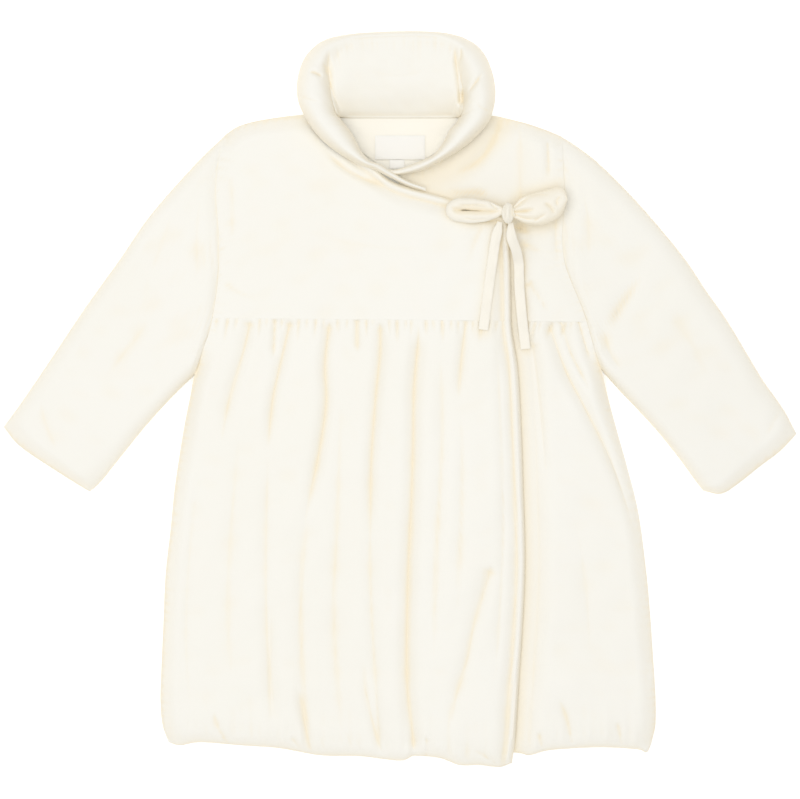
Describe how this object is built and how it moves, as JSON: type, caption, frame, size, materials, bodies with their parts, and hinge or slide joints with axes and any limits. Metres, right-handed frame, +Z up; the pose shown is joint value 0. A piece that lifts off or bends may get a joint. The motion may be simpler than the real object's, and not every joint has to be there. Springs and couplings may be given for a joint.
{
  "type": "down coat",
  "caption": "Child's wrap-front down coat laid flat, with a fold-over collar, side bow, gathered skirt and bubble hem.",
  "frame": {"origin": "centre of the coat's outline on the surface it lies on", "axes": "+X to the wearer's left, +Y towards the collar, +Z up from the surface"},
  "size_m": [0.795, 0.7359, 0.056],
  "materials": {
    "shell_fabric": "ivory down-proof cotton satin with a soft sheen",
    "ribbon": "ivory satin ribbon",
    "facing": "matt cream lining cloth",
    "label": "plain white woven tape, bare"
  },
  "bodies": {
    "root": {"back_bodice": "shell_fabric", "back_skirt": "shell_fabric", "under_front_bodice": "shell_fabric", "under_front_skirt": "shell_fabric", "wrap_front_bodice": "shell_fabric", "wrap_front_skirt": "shell_fabric", "right_sleeve": "shell_fabric", "left_sleeve": "shell_fabric", "collar_back": "shell_fabric", "collar_right_side": "shell_fabric", "collar_left_side": "shell_fabric", "bow_short_loop": "shell_fabric", "bow_full_loop": "shell_fabric", "bow_knot": "shell_fabric", "right_tail": "ribbon", "left_tail": "ribbon", "neck_facing": "facing", "neck_label": "label", "size_tab": "label"}
  },
  "joints": []
}
